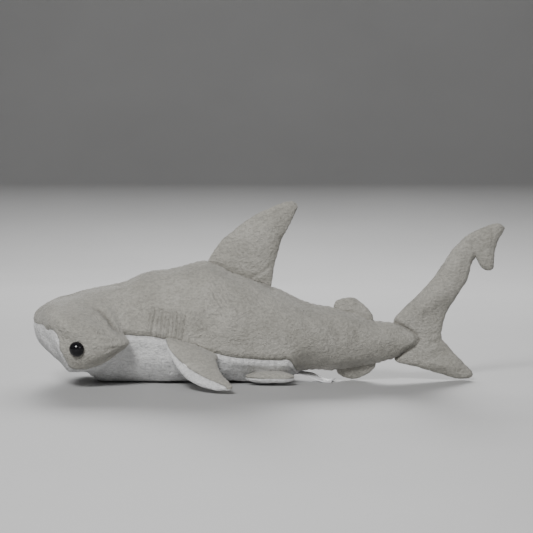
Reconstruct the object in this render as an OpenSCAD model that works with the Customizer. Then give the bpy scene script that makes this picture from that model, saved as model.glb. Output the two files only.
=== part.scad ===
// Plush hammerhead shark, cut and sewn from grey and white pile fabric.
// Head towards -X, tail towards +X, belly on the plane Z = 0, left side at -Y.
// Every panel is a thin closed solid, and each stuffed piece has its own fibre filling.

/* [Overall] */
// Nose to the tip of the tail fin
total_length = 450; // [380:5:520]
// Across the two pectoral fins, tip to tip
fin_span = 220; // [190:5:250]
// Floor to the tip of the front dorsal fin
total_height = 172; // [150:2:200]

/* [Fabric] */
// Thickness of the pile fabric
fabric = 2; // [1.5:0.1:2.4]
// Thickness of the sewing thread
thread = 1.2; // [0.8:0.1:1.6]
// Gap between the fabric and the filling behind it
filling_gap = 1; // [0.6:0.1:1.4]

/* [Eyes] */
// Diameter of a safety eye
eye_d = 14; // [11:1:18]
// Height of an eye's dome over the fabric
eye_h = 5; // [4:0.5:6]
// Diameter of an eye's shank
shank_d = 3.6; // [3:0.2:4.4]
// Length of an eye's shank behind the dome
shank_l = 10; // [9:0.5:12]
// Diameter of the washer that locks the shank
washer_d = 13; // [10:1:16]

/* [Label] */
// Width of the blank sewn-in label
label_w = 19; // [15:1:22]
// Thickness of the folded satin
label_t = 0.8; // [0.5:0.1:1]

/* [Gills] */
// Stitched gill lines on each side
gills = 5; // [3:1:6]

/* [Hidden] */

grey = [0.70, 0.69, 0.66];
white = [0.93, 0.93, 0.92];
black = [0.02, 0.02, 0.02];

// The tables below are drawn at this size, and every point is scaled from it.
drawn = [450, 220, 172];
size = [total_length / drawn.x, fin_span / drawn.y, total_height / drawn.z];
function sized(p) = [p.x * size.x, p.y * size.y, p.z * size.z];

// ---- Curves -----------------------------------------------------------------
function mix(a, b, t) = a + (b - a) * t;
function clamp(v, low, high) = max(low, min(high, v));
function unit(v) = v / max(norm(v), 1e-9);
function row(table, i) = table[clamp(i, 0, len(table) - 1)];
// A smooth curve through the rows of a table, at a row number that may be a fraction
function along(table, u) =
    let (i = clamp(floor(u), 0, len(table) - 2), t = u - i,
         a = row(table, i - 1), b = table[i], c = table[i + 1], d = row(table, i + 2))
    0.5 * (2 * b + (c - a) * t + (2 * a - 5 * b + 4 * c - d) * t * t
           + (3 * b - a - 3 * c + d) * t * t * t);

// ---- Solids from grids of points ---------------------------------------------
// The two triangles on four corners, turned over when flip is set
function quad(a, b, c, d, flip) = flip ? [[a, c, b], [a, d, c]] : [[a, b, c], [a, c, d]];
function corners(i, j, cols) =
    let (a = i * cols + j) [a, a + 1, a + cols + 1, a + cols];
function grid_faces(rows, cols, first, flip, hole) = [
    for (i = [0:rows - 2], j = [0:cols - 2])
        if ([i, j] != hole)
            let (q = corners(i, j, cols) + first * [1, 1, 1, 1])
            each quad(q[0], q[1], q[2], q[3], flip)
];
// The wall between a loop of outer points and the same loop of inner points. Its diagonals
// run the same way whichever way round the loop goes, so that the walls of two panels match.
function wall_faces(loop, second, flip) = [
    for (k = [0:len(loop) - 1])
        let (a = loop[k], b = loop[(k + 1) % len(loop)])
        each a < b ? quad(a, a + second, b + second, b, flip)
                   : quad(a + second, b + second, b, a, flip)
];
function rim(rows, cols) = concat(
    [for (j = [0:cols - 2]) j],
    [for (i = [0:rows - 2]) i * cols + cols - 1],
    [for (j = [cols - 1:-1:1]) (rows - 1) * cols + j],
    [for (i = [rows - 1:-1:1]) i * cols]);
// A panel: an outer and an inner grid of the same size, closed round the rim.
// hole is the cell left open, as [row, column], or undef.
module panel(outer, inner, flip = false, hole = undef) {
    rows = len(outer);
    cols = len(outer[0]);
    second = rows * cols;
    polyhedron(
        points = [for (r = outer) each r, for (r = inner) each r],
        faces = concat(
            grid_faces(rows, cols, 0, flip, hole),
            grid_faces(rows, cols, second, !flip, hole),
            wall_faces(rim(rows, cols), second, flip),
            hole == undef ? [] : wall_faces(corners(hole.x, hole.y, cols), second, !flip)));
}
// A closed loft through rings of points
module loft(rings, flip = false) {
    n = len(rings[0]);
    last = (len(rings) - 1) * n;
    sides = [for (i = [0:len(rings) - 2], j = [0:n - 1])
        let (a = i * n + j, b = i * n + (j + 1) % n)
        each quad(a, b, b + n, a + n, flip)];
    start = [for (j = [1:n - 2]) flip ? [0, j, j + 1] : [0, j + 1, j]];
    end = [for (j = [1:n - 2])
        flip ? [last, last + j + 1, last + j] : [last, last + j, last + j + 1]];
    polyhedron(points = [for (r = rings) each r], faces = concat(sides, start, end));
}
// A round thread along a list of points, with a fixed sideways direction
thread_sides = 6;
module strand(points, side) {
    last = len(points) - 1;
    loft([for (i = [0:last])
        let (way = unit(points[min(i + 1, last)] - points[max(i - 1, 0)]),
             p = unit(cross(way, side)), q = cross(way, p))
        [for (j = [0:thread_sides - 1])
            let (a = 360 * j / thread_sides)
            points[i] + thread / 2 * (cos(a) * p + sin(a) * q)]], flip = true);
}

// ---- Body and head -------------------------------------------------------------
// Stations from the nose to the tail, each with eleven values: the x of the back's line, of
// the belly's line and of the widest point; the half width, the widest point's height and the
// middle's height; the rise to the back and the drop to the belly; the seam's angle from the
// back's line; and the fullness of the upper and lower curves, where 2 is an ellipse.
stations = [
    [-225, -225, -225, 1, 57, 57, 1.5, 1.5, 90, 2.2, 2.0],
    [-223, -223, -222, 18, 57, 56, 8.5, 10, 90, 2.2, 2.0],
    [-219, -219, -216, 36, 56, 55, 14, 17, 90, 2.4, 2.1],
    [-213, -212, -208, 52, 54, 53, 20.5, 22, 90, 2.6, 2.2],
    [-206, -204, -199, 66, 51, 51, 26, 25.5, 92, 2.8, 2.3],
    [-199, -197, -186, 77, 47, 49, 30.7, 28, 112, 3.0, 2.5],
    [-194, -190, -170, 81, 43, 48, 33, 35, 128, 3.1, 2.7],
    [-188, -183, -153, 80, 41, 48, 34.7, 35.5, 128, 3.0, 2.7],
    [-183, -176, -138, 75, 41, 48, 36.3, 36.5, 121, 2.8, 2.5],
    [-176, -169, -129, 66, 42, 48, 38.2, 39, 98, 2.5, 2.4],
    [-152, -161, -133, 51, 46, 47, 44.4, 46, 89, 2.2, 2.3],
    [-136, -140, -122, 46.5, 46, 46, 49.3, 46, 89, 2.1, 2.4],
    [-117, -117, -109, 47, 45, 45, 57.6, 45, 89, 2.1, 2.5],
    [ -94,  -96,  -94, 48.5, 43, 43, 64,   43,    90, 2.1, 2.6],
    [ -75,  -76,  -75, 50,   42, 42, 69.5, 42,    93, 2.1, 2.6],
    [ -58,  -58,  -58, 50,   41, 41, 72.5, 41,    97, 2.1, 2.6],
    [ -35,  -35,  -35, 49,   40, 40, 65,   40,   103, 2.1, 2.6],
    [ -12,  -12,  -12, 46,   40, 40, 56,   40,   108, 2.1, 2.5],
    [   8,    8,    8, 43,   40, 40, 48,   39.5, 111, 2.1, 2.4],
    [  21,   21,   21, 40.5, 40, 40, 42,   36,   118, 2.1, 2.3],
    [  31,   31,   31, 38,   40, 40, 37.5, 30.5, 170, 2.1, 2.2],
    [  45,   45,   45, 34.5, 40, 40, 33,   29.5, 180, 2.1, 2.1],
    [  62,   62,   62, 30,   40, 40, 29.5, 29,   180, 2.1, 2.1],
    [  80,   80,   80, 25.5, 40, 40, 24.5, 26.5, 180, 2.1, 2.1],
    [  98,   98,   98, 21,   39, 39, 19.5, 22.5, 180, 2.1, 2.1],
    [ 112,  112,  112, 17.5, 39, 39, 17.5, 19.5, 180, 2.1, 2.1],
    [ 122,  122,  122, 14.5, 39, 39, 16.3, 17,   180, 2.1, 2.1],
    [ 131,  131,  131, 11,   39, 39, 12.8, 11.5, 180, 2.0, 2.0],
    [ 138,  138,  138,  7.5, 39, 39,  8.2,  6.8, 180, 2.0, 2.0],
    [ 142,  142,  142,  4,   39, 39,  4,    3.5, 180, 2.0, 2.0],
    [ 144,  144,  144,  1,   39, 39,  1,    1,   180, 2.0, 2.0],
];
// Station numbers of the mouth seam, the belly panel's rear point and the body's end
mouth = 9;
belly_end = 20;
body_end = len(stations) - 1;
// The belly is pressed flat where it lies: this much at the floor, fading to none higher up
belly_press = 1.2;
press_height = 30;
// Rows of points from one station to the next
steps = 2;

function seam_angle(u) = clamp(along([for (r = stations) [r[8]]], u)[0], 80, 180);
// A point on the body's left side: u is the station, a the angle from the back's line
function skin(u, a) =
    let (r = along(stations, clamp(u, 0, body_end)), top = a <= 90,
         full = top ? r[9] : r[10],
         out = pow(abs(sin(a)), 2 / full), up = pow(abs(cos(a)), 2 / full),
         x = mix(r[2], top ? r[0] : r[1], up),
         z = mix(r[5], r[4], out) + (top ? r[6] : -r[7]) * up,
         pressed = z - belly_press * max(0, 1 - z / press_height))
    sized([x, -max(r[3], 0.5) * out, max(pressed, 0)]);
function skin_normal(u, a) =
    let (du = skin(min(u + 0.05, body_end), a) - skin(max(u - 0.05, 0), a),
         da = skin(u, min(a + 1, 180)) - skin(u, max(a - 1, 0)),
         n = cross(da, du), middle = a < 0.01 || a > 179.99)
    unit([n.x, middle ? 0 : n.y, n.z]);
// A point below the skin by depth, kept on the left side
function skin_in(u, a, depth) =
    let (p = skin(u, a) - depth * skin_normal(u, a)) [p.x, min(p.y, 0), p.z];
// The same all the way round: an angle over 180 is on the right side
function around(u, a, depth) =
    let (p = skin_in(u, a <= 180 ? a : 360 - a, depth))
    a <= 180 ? p : [p.x, -p.y, p.z];

side_cols = 14;
function side_grid(depth) = [
    for (k = [0:body_end * steps])
        let (u = k / steps, seam = seam_angle(u))
        [for (j = [0:side_cols]) skin_in(u, seam * j / side_cols, depth)]
];
belly_cols = 12;
// Where the grey panels meet below, the belly panel keeps this half angle
belly_tip = 1.5;
function belly_grid(first, last, depth) = [
    for (k = [first * steps:last * steps])
        let (u = k / steps, seam = min(seam_angle(u), 180 - belly_tip))
        [for (j = [0:belly_cols]) around(u, mix(seam, 360 - seam, j / belly_cols), depth)]
];

// The eye sits on one cell of the side panel, which is left open for its shank, and
// eye_place is where in that cell.
eye_cell = [11, 10];
eye_place = [0.7, 0.5];
eye_u = (eye_cell.x + eye_place.x) / steps;
eye_a = seam_angle(eye_u) * (eye_cell.y + eye_place.y) / side_cols;
eye_seat = skin(eye_u, eye_a);
eye_way = skin_normal(eye_u, eye_a);
washer_depth = fabric + 3;
washer_t = 1.6;
pocket_r = 15;
pocket_depth = shank_l + 3;

module side_panel()
    color(grey) panel(side_grid(0), side_grid(fabric), flip = true, hole = eye_cell);
module belly(first, last)
    color(white) panel(belly_grid(first, last, 0), belly_grid(first, last, fabric), flip = true);

// The filling gives way round the eye's shank and washer, and keeps further in along the
// sharp rear edge of each lobe, between these two stations.
lobe_edge = [7.9, 9.6];
lobe_edge_gap = 3;
filling_ring = 24;
function filling_depth(u) =
    fabric + filling_gap + (u > lobe_edge[0] && u < lobe_edge[1] ? lobe_edge_gap : 0);
function filling_point(u, a) =
    let (p = around(u, a, filling_depth(u)), left_p = [p.x, -abs(p.y), p.z],
         near = norm(left_p - eye_seat) < pocket_r)
    near ? around(u, a, pocket_depth) : p;
module body_filling()
    color(white) loft([for (k = [steps:(body_end - 2) * steps])
        [for (j = [0:filling_ring - 1]) filling_point(k / steps, 360 * j / filling_ring)]],
        flip = true);

module at_eye() {
    turn = [0, acos(eye_way.z), atan2(eye_way.y, eye_way.x)];
    translate(eye_seat + 0.5 * eye_way) rotate(turn) children();
}
module eye() {
    dome_r = (eye_h * eye_h + eye_d * eye_d / 4) / (2 * eye_h);
    color(black) at_eye() {
        intersection() {
            translate([0, 0, eye_h - dome_r]) sphere(dome_r, $fn = 64);
            cylinder(d = eye_d, h = eye_h, $fn = 64);
        }
        translate([0, 0, -shank_l]) cylinder(d = shank_d, h = shank_l + 1, $fn = 32);
    }
}
module eye_washer()
    color(white) at_eye() translate([0, 0, -washer_depth - washer_t]) difference() {
        cylinder(d = washer_d, h = washer_t, $fn = 48);
        translate([0, 0, -1]) cylinder(d = shank_d + 0.1, h = washer_t + 2, $fn = 32);
    }

// Gill lines: each runs from station gill_u, down from one angle to the other, leaning forward
gill_u = 12.1;
gill_step = 0.38;
gill_lean = 0.2;
gill_angles = [64, 88];
thread_lift = thread / 2 + 0.1;
module gill_stitching()
    color(grey) for (i = [0:gills - 1])
        strand([for (t = [0:0.2:1])
            let (u = gill_u + gill_step * i + gill_lean * (1 - t))
            skin_in(u, mix(gill_angles[0], gill_angles[1], t), -thread_lift)], [1, 0, 0]);
// The mouth's stitching spans this angle to each side of the belly's line
mouth_half_angle = 40;
module mouth_stitching()
    color(white) strand([for (a = [180 - mouth_half_angle:8:180 + mouth_half_angle])
        around(mouth, a, -thread_lift)], [1, 0, 0]);

// ---- Fins -----------------------------------------------------------------------
// Rows from the root to the tip, each with seven values: a point on the leading edge, a point
// on the trailing edge, and the half thickness between them.
dorsal_rows = [
    [-59,   0, 117.2,   2, 0,  92.5, 2.4],
    [-50,   0, 127.5,   5, 0, 108,   7],
    [-41,   0, 138,     9, 0, 122.5, 9],
    [-27,   0, 149,    12, 0, 133,   8.5],
    [-12,   0, 158.5,  16, 0, 142,   7.5],
    [  3,   0, 166,    21, 0, 153,   6],
    [ 15,   0, 170.5,  25, 0, 161,   4],
    [ 22,   0, 172,    27, 0, 166.5, 0.4],
];
rear_dorsal_rows = [
    [62,   0, 72.2, 100, 0, 60.5, 2],
    [63,   0, 76,    97, 0, 66,   4],
    [69,   0, 79,    90, 0, 73,   3.5],
    [75,   0, 80,    82, 0, 78.5, 0.4],
];
anal_rows = [
    [65, 0, 8.4, 102, 0, 14.6, 2],
    [68, 0, 5.5,  99, 0, 10,   4],
    [72, 0, 3.2,  94, 0,  6,   3.2],
    [77, 0, 1.8,  86, 0,  2.6, 0.4],
];
// Left pectoral and left pelvic fins; the right ones are their mirror images
pectoral_rows = [
    [-96,  -51.5, 42.5, -48, -52,   26,  2.6],
    [-92,  -62,   32,   -48, -64,   23,  6.5],
    [-80,  -78,   17,   -46, -78,   17.5, 7],
    [-66,  -93,    8,   -41, -92,   12,  5.5],
    [-50, -105,    5,   -34, -104,   8,  3.5],
    [-40, -109.5,  4.2, -33, -110,   5.5, 0.4],
];
pelvic_rows = [
    [-16, -35,   6.6, 18, -33,   7.4, 2],
    [-18, -40,   5.8, 22, -39,   6,   3.6],
    [-11, -45,   4.8, 23, -44.5, 4.8, 3],
    [  3, -48.5, 4,   19, -48,   4,   0.4],
];
pectoral_up = unit([0.31, -0.27, 0.91]);
pelvic_up = unit([0, -0.15, 1]);
sideways = [0, -1, 0];
// The tail fin runs from the lower lobe's tip to the upper lobe's tip, and its leading edge
// is notched for the end of the body.
tail_rows = [
    [182, 0,   1,   192,   0,   2.5,  0.4],
    [160, 0,   7,   195,   0,   7.5,  6],
    [140, 0,  13,   187,   0,  16,    9],
    [123, 0,  18,   178,   0,  25.7, 11],
    [136, 0,  27,   171,   0,  34,   12],
    [147, 0,  38.5, 165.5, 0,  41,   11],
    [143, 0,  49,   166.5, 0,  52,   12],
    [122, 0,  60,   171,   0,  66.5, 12],
    [141, 0,  81.5, 180,   0,  81.5, 11],
    [155, 0,  97,   189.5, 0,  97,   10],
    [167, 0, 112.5, 197,   0, 113,    8.5],
    [176, 0, 126,   210,   0, 107.5,  7.5],
    [187, 0, 137,   215,   0, 119,    6.5],
    [200, 0, 144.6, 217,   0, 131,    5],
    [213, 0, 149,   222.5, 0, 141,    3],
    [219, 0, 150,   225,   0, 145.5,  0.4],
];
function lead(r) = [r[0], r[1], r[2]];
function trail(r) = [r[3], r[4], r[5]];
// A point round a fin's section: a is 0 on the leading edge and 180 on the trailing edge,
// and inset is the depth below the fin's surface.
function fin_point(rows, up, u, a, inset) =
    let (r = along(rows, u), p = lead(r), q = trail(r),
         k = min(inset / norm(q - p), 0.4), half = max(r[6] - inset, 0.05))
    sized(mix(p, q, mix(k, 1 - k, (1 - cos(a)) / 2)) + half * sin(a) * up);
fin_cols = 8;
function fin_row_list(rows, inset, both_ends) =
    let (last = len(rows) - 1, back = 0.35 * inset / fabric)
    [for (k = [0:last * steps]) mix(both_ends ? back : 0, last - back, k / (last * steps))];
function fin_grid(rows, up, inset, side, both_ends) = [
    for (u = fin_row_list(rows, inset, both_ends))
        [for (j = [0:fin_cols]) fin_point(rows, side * up, u, 180 * j / fin_cols, inset)]
];
// side is 1 for the panel on the up side and -1 for the other
module fin_panel(rows, up, side = 1, both_ends = false) {
    span = lead(rows[len(rows) - 1]) - lead(rows[0]);
    facing = cross(trail(rows[0]) - lead(rows[0]), span) * up * side;
    panel(fin_grid(rows, up, 0, side, both_ends), fin_grid(rows, up, fabric, side, both_ends),
          flip = facing > 0);
}
fin_ring = 16;
module fin_filling(rows, up, first, last) {
    span = lead(rows[len(rows) - 1]) - lead(rows[0]);
    facing = cross(trail(rows[0]) - lead(rows[0]), span) * up;
    color(white) loft([for (u = [first:0.5:last])
        [for (j = [0:fin_ring - 1])
            fin_point(rows, up, u, 360 * j / fin_ring, fabric + filling_gap)]],
        flip = facing > 0);
}

// ---- Label ----------------------------------------------------------------------
label_path = [[30.5, -2, 7.4], [38, -5, 5.6], [46, -8, 3.2], [54, -10.5, 1.4], [62, -13, 1.5]];
label_side = unit([0.28, 1, 0.03]);
function label_grid(lift) = [
    for (u = [0:0.5:len(label_path) - 1])
        let (e = 0.1, p = along(label_path, u),
             way = unit(along(label_path, u + e) - along(label_path, u - e)),
             up = unit(cross(way, label_side)))
        [for (s = [-0.5, 0, 0.5]) sized(p) + s * label_w * label_side + lift * up]
];
module care_label()
    color(white) panel(label_grid(label_t / 2), label_grid(-label_t / 2), flip = false);

module mirrored() mirror([0, 1, 0]) children();

side_panel();  // side_panel_left
mirrored() side_panel();  // side_panel_right
belly(0, mouth);  // head_underside_panel
belly(mouth, belly_end);  // belly_panel
body_filling();
mouth_stitching();
eye();  // eye_left
mirrored() eye();  // eye_right
eye_washer();  // eye_washer_left
mirrored() eye_washer();  // eye_washer_right
gill_stitching();  // gill_stitching_left
mirrored() gill_stitching();  // gill_stitching_right
color(grey) fin_panel(dorsal_rows, sideways);  // dorsal_fin_panel_left
color(grey) fin_panel(dorsal_rows, sideways, -1);  // dorsal_fin_panel_right
fin_filling(dorsal_rows, sideways, 0.5, 5.5);  // dorsal_fin_filling
color(grey) fin_panel(rear_dorsal_rows, sideways);  // rear_dorsal_panel_left
color(grey) fin_panel(rear_dorsal_rows, sideways, -1);  // rear_dorsal_panel_right
color(grey) fin_panel(pectoral_rows, pectoral_up);  // pectoral_top_left
color(white) fin_panel(pectoral_rows, pectoral_up, -1);  // pectoral_under_left
fin_filling(pectoral_rows, pectoral_up, 0.5, 3.5);  // pectoral_filling_left
color(grey) mirrored() fin_panel(pectoral_rows, pectoral_up);  // pectoral_top_right
color(white) mirrored() fin_panel(pectoral_rows, pectoral_up, -1);  // pectoral_under_right
mirrored() fin_filling(pectoral_rows, pectoral_up, 0.5, 3.5);  // pectoral_filling_right
color(grey) fin_panel(pelvic_rows, pelvic_up);  // pelvic_top_left
color(white) fin_panel(pelvic_rows, pelvic_up, -1);  // pelvic_under_left
color(grey) mirrored() fin_panel(pelvic_rows, pelvic_up);  // pelvic_top_right
color(white) mirrored() fin_panel(pelvic_rows, pelvic_up, -1);  // pelvic_under_right
color(grey) fin_panel(anal_rows, sideways);  // anal_fin_panel_left
color(grey) fin_panel(anal_rows, sideways, -1);  // anal_fin_panel_right
color(grey) fin_panel(tail_rows, sideways, 1, true);  // tail_fin_panel_left
color(grey) fin_panel(tail_rows, sideways, -1, true);  // tail_fin_panel_right
fin_filling(tail_rows, sideways, 1, 13.5);  // tail_fin_filling
care_label();
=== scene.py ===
import math

import bpy
import numpy as np
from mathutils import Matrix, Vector


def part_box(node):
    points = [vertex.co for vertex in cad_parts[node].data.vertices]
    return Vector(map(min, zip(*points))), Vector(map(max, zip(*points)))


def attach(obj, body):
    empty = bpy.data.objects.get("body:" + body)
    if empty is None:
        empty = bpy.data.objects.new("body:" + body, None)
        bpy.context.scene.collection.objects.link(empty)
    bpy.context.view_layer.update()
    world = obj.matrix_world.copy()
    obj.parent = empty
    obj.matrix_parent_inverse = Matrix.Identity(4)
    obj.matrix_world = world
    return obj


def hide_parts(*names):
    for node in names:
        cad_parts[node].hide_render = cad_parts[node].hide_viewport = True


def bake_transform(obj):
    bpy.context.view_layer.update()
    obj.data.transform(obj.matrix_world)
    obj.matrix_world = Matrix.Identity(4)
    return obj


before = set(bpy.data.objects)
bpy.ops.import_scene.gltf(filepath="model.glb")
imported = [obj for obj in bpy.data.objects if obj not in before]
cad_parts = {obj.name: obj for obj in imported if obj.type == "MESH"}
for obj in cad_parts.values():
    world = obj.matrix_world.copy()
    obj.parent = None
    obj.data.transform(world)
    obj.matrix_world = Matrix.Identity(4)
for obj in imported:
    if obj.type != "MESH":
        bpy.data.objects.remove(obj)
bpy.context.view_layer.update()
mm = 0.001
print("frame loaded:", len(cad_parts), "CAD nodes")


studio = {
    "eyeHeight": 0.206,  # the camera's height, in metres
    "distance": 1.7,
    "aim": (-0.0024, 0, 0.109),
    "lens": 120.5,
    "worldColour": (0.88, 0.87, 0.86, 1),
    "worldStrength": 0.13,
    # each light: place, aim, size and power
    "lights": {
        "keyLight": ((-0.55, -1.4, 1.25), (-0.02, 0, 0.06), (0.55, 0.55), 31),
        "rimLight": ((0, 1.6, 0.8), (0, 0, 0.08), (1.6, 0.4), 27),
        "fillLight": ((1.2, -1.4, 0.9), (0.05, 0, 0.06), (0.9, 0.7), 3),
    },
}


# ---- curves and grids, all in millimetres until a mesh is made
def curveThrough(rows, u):
    # smooth curve through the rows of a table, u counts rows and may be a fraction
    table = np.asarray(rows, float)
    u = np.clip(np.asarray(u, float), 0, len(table) - 1)
    i = np.minimum(u.astype(int), len(table) - 2)
    t = (u - i)[..., None]
    before, after = np.maximum(i - 1, 0), np.minimum(i + 2, len(table) - 1)
    a, b, c, d = table[before], table[i], table[i + 1], table[after]
    return 0.5 * (
        2 * b + (c - a) * t + (2 * a - 5 * b + 4 * c - d) * t**2 + (3 * b - a - 3 * c + d) * t**3
    )


def unitVectors(v):
    return v / np.maximum(np.linalg.norm(v, axis=-1, keepdims=True), 1e-9)


def bump(distance, width):
    return np.exp(-((distance / width) ** 2))


def easeIn(x, low, high):
    t = np.clip((x - low) / (high - low), 0, 1)
    return t * t * (3 - 2 * t)


def softNoise(p, size, seed):
    # smooth random lumps about size across, between -1 and 1, the same on every run
    q = np.asarray(p, float) / size + seed * 17.31
    cell = np.floor(q).astype(np.int64)
    f = q - cell
    f = f * f * (3 - 2 * f)
    total = np.zeros(q.shape[:-1])
    for corner in range(8):
        step = np.array([corner & 1, corner >> 1 & 1, corner >> 2 & 1])
        c = cell + step
        h = c[..., 0] * 73856093 ^ c[..., 1] * 19349663 ^ c[..., 2] * 83492791 ^ seed * 2654435
        h = (h ^ h >> 13) * 1274126177 & 0x7FFFFFFF
        w = np.prod(np.where(step == 1, f, 1 - f), axis=-1)
        total += w * ((h >> 7) % 10007 / 10007)
    return total * 2 - 1


def gridNormals(g):
    # normals of a grid of points, for rows along the piece and columns round it
    return unitVectors(np.cross(np.gradient(g, axis=1), np.gradient(g, axis=0)))


def lineDistance(p, line):
    # distance from each point to a line of points, and how far along that line it is, 0 to 1
    line = np.asarray(line, float)
    best = np.full(p.shape[:-1], 1e9)
    place = np.zeros(p.shape[:-1])
    lengths = np.linalg.norm(np.diff(line, axis=0), axis=1)
    starts = np.concatenate([[0], np.cumsum(lengths)])
    for k, (a, b) in enumerate(zip(line[:-1], line[1:])):
        t = np.clip(((p - a) @ (b - a)) / ((b - a) @ (b - a)), 0, 1)
        d = np.linalg.norm(p - (a + t[..., None] * (b - a)), axis=-1)
        near = d < best
        best = np.where(near, d, best)
        place = np.where(near, (starts[k] + t * lengths[k]) / starts[-1], place)
    return best, place


def gridFaces(rows, cols, flip=False):
    i, j = np.meshgrid(np.arange(rows - 1), np.arange(cols - 1), indexing="ij")
    a = (i * cols + j).ravel()
    faces = np.stack([a, a + 1, a + cols + 1, a + cols], 1)
    return faces[:, ::-1] if flip else faces


def newMesh(name, points, faces):
    mesh = bpy.data.meshes.new(name)
    mesh.from_pydata([tuple(p) for p in np.asarray(points) * mm], [], [list(f) for f in faces])
    mesh.update()
    piece = bpy.data.objects.new(name, mesh)
    bpy.context.scene.collection.objects.link(piece)
    return piece


def fabricPiece(name, grid, thickness, material, flip=False, shade=None):
    # a cut panel: the grid is its outer face, and the fabric's thickness goes inwards.
    # shade is painted shade: how much the colour is darkened, as it is in a seam's groove
    rows, cols = grid.shape[:2]
    count = rows * cols
    depth = np.broadcast_to(thickness, (rows, cols))[..., None]
    inner = grid - gridNormals(grid) * depth * (-1 if flip else 1)
    numbers = np.arange(count).reshape(rows, cols)
    loop = np.concatenate(
        [numbers[0, :-1], numbers[:-1, -1], numbers[-1, :0:-1], numbers[:0:-1, 0]]
    )
    after = np.roll(loop, -1)
    walls = np.stack([after, loop, loop + count, after + count], 1)
    faces = np.concatenate(
        [
            gridFaces(rows, cols, flip),
            gridFaces(rows, cols, not flip) + count,
            walls[:, ::-1] if flip else walls,
        ]
    )
    points = np.concatenate([grid.reshape(-1, 3), inner.reshape(-1, 3)])
    piece = newMesh(name, points, faces)
    piece.data.shade_smooth()
    piece.data.materials.append(material)
    if shade is not None:
        # painted shade, kept on the points of both faces for the plush material
        pressed = piece.data.attributes.new("pressed", "FLOAT", "POINT")
        value = np.clip(np.broadcast_to(shade, (rows, cols)).ravel(), 0, 1)
        pressed.data.foreach_set("value", np.concatenate([value, value]))
    return piece


def closedForm(name, rings):
    # a closed mesh through rings of points
    rows, cols = rings.shape[:2]
    after = np.roll(np.arange(cols), -1)
    faces = []
    for i in range(rows - 1):
        for j in range(cols):
            a, b = i * cols + j, i * cols + after[j]
            faces.append([a, b, b + cols, a + cols])
    faces.append(list(range(cols))[::-1])
    faces.append([(rows - 1) * cols + j for j in range(cols)])
    return newMesh(name, rings.reshape(-1, 3), faces)


def bendAcross(piece, fold, flip=1):
    # the fold's two points are worked out but not used; the piece's transform is baked into its
    # mesh
    start, end = (tuple(np.array(point) * (1, flip, 1) * mm) for point in fold)
    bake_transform(piece)


# ---- stuffing: a ring grid is blown up as cloth, held along its seams
cloth = {
    "pressure": 4.0,
    "frames": 20,
    "slack": 0.035,  # how much larger the cut cloth is than the shape it starts from
    "tension": 12.0,
    "bending": 0.4,
    "quality": 6,
    "mass": 0.2,
}


def stuffed(name, rings, held, cap):
    # rings: rows of points round a closed form. held: how firmly each point stays, 0 to 1.
    # Returns how far each point moves, always less than cap.
    piece = closedForm(name, rings)
    group = piece.vertex_groups.new(name="held")
    for number, weight in enumerate(held.ravel()):
        group.add([number], float(weight), "REPLACE")
    bpy.context.view_layer.objects.active = piece
    sim = piece.modifiers.new("stuffing", "CLOTH")
    sim.settings.quality = cloth["quality"]
    sim.settings.mass = cloth["mass"]
    sim.settings.use_pressure = True
    sim.settings.uniform_pressure_force = cloth["pressure"]
    sim.settings.shrink_min = -cloth["slack"]
    sim.settings.tension_stiffness = cloth["tension"]
    sim.settings.compression_stiffness = cloth["tension"]
    sim.settings.bending_stiffness = cloth["bending"]
    sim.settings.vertex_group_mass = "held"
    sim.settings.effector_weights.gravity = 0
    sim.point_cache.frame_start = 1
    sim.point_cache.frame_end = cloth["frames"]
    scene = bpy.context.scene
    for frameNumber in range(1, cloth["frames"] + 1):
        scene.frame_set(frameNumber)
    result = piece.evaluated_get(bpy.context.evaluated_depsgraph_get())
    places = np.zeros(rings.size)
    result.data.vertices.foreach_get("co", places)
    move = places.reshape(rings.shape) / mm - rings
    bpy.data.objects.remove(piece, do_unlink=True)
    scene.frame_set(1)
    far = np.linalg.norm(move, axis=-1, keepdims=True)
    print(f"  stuffed {name}: moved {far.mean():.2f} mm, {far.max():.2f} mm at most")
    return move * cap / (far + cap)


def sampled(field, row, col):
    # a value between the points of a ring grid, smooth along the rows and round the ring
    rows, cols = field.shape[:2]
    i = np.clip(np.floor(row).astype(int), 0, rows - 2)
    j = np.floor(col).astype(int)
    s, t = (row - i)[..., None], (col - j)[..., None]
    s, t = s * s * (3 - 2 * s) * 0.5 + s * 0.5, t * t * (3 - 2 * t) * 0.5 + t * 0.5
    a, b = field[i, j % cols], field[i, (j + 1) % cols]
    c, d = field[i + 1, j % cols], field[i + 1, (j + 1) % cols]
    return (a * (1 - t) + b * t) * (1 - s) + (c * (1 - t) + d * t) * s


# ---- materials
def newMaterial(name):
    material = bpy.data.materials.new(name)
    material.use_nodes = True
    nodes = material.node_tree.nodes
    nodes.clear()
    output = nodes.new("ShaderNodeOutputMaterial")
    shader = nodes.new("ShaderNodeBsdfPrincipled")
    material.node_tree.links.new(shader.outputs[0], output.inputs["Surface"])
    return material, nodes, material.node_tree.links, shader


def noiseNode(nodes, links, vector, scale, detail=3.0, roughness=0.6):
    noise = nodes.new("ShaderNodeTexNoise")
    noise.inputs["Scale"].default_value = scale
    noise.inputs["Detail"].default_value = detail
    noise.inputs["Roughness"].default_value = roughness
    links.new(vector, noise.inputs["Vector"])
    return noise.outputs["Fac"]


def rampNode(nodes, links, value, low, high, lowColour, highColour):
    ramp = nodes.new("ShaderNodeValToRGB")
    ramp.color_ramp.elements[0].position = low
    ramp.color_ramp.elements[1].position = high
    ramp.color_ramp.elements[0].color = (*lowColour, 1)
    ramp.color_ramp.elements[1].color = (*highColour, 1)
    links.new(value, ramp.inputs["Fac"])
    return ramp.outputs["Color"]


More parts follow.
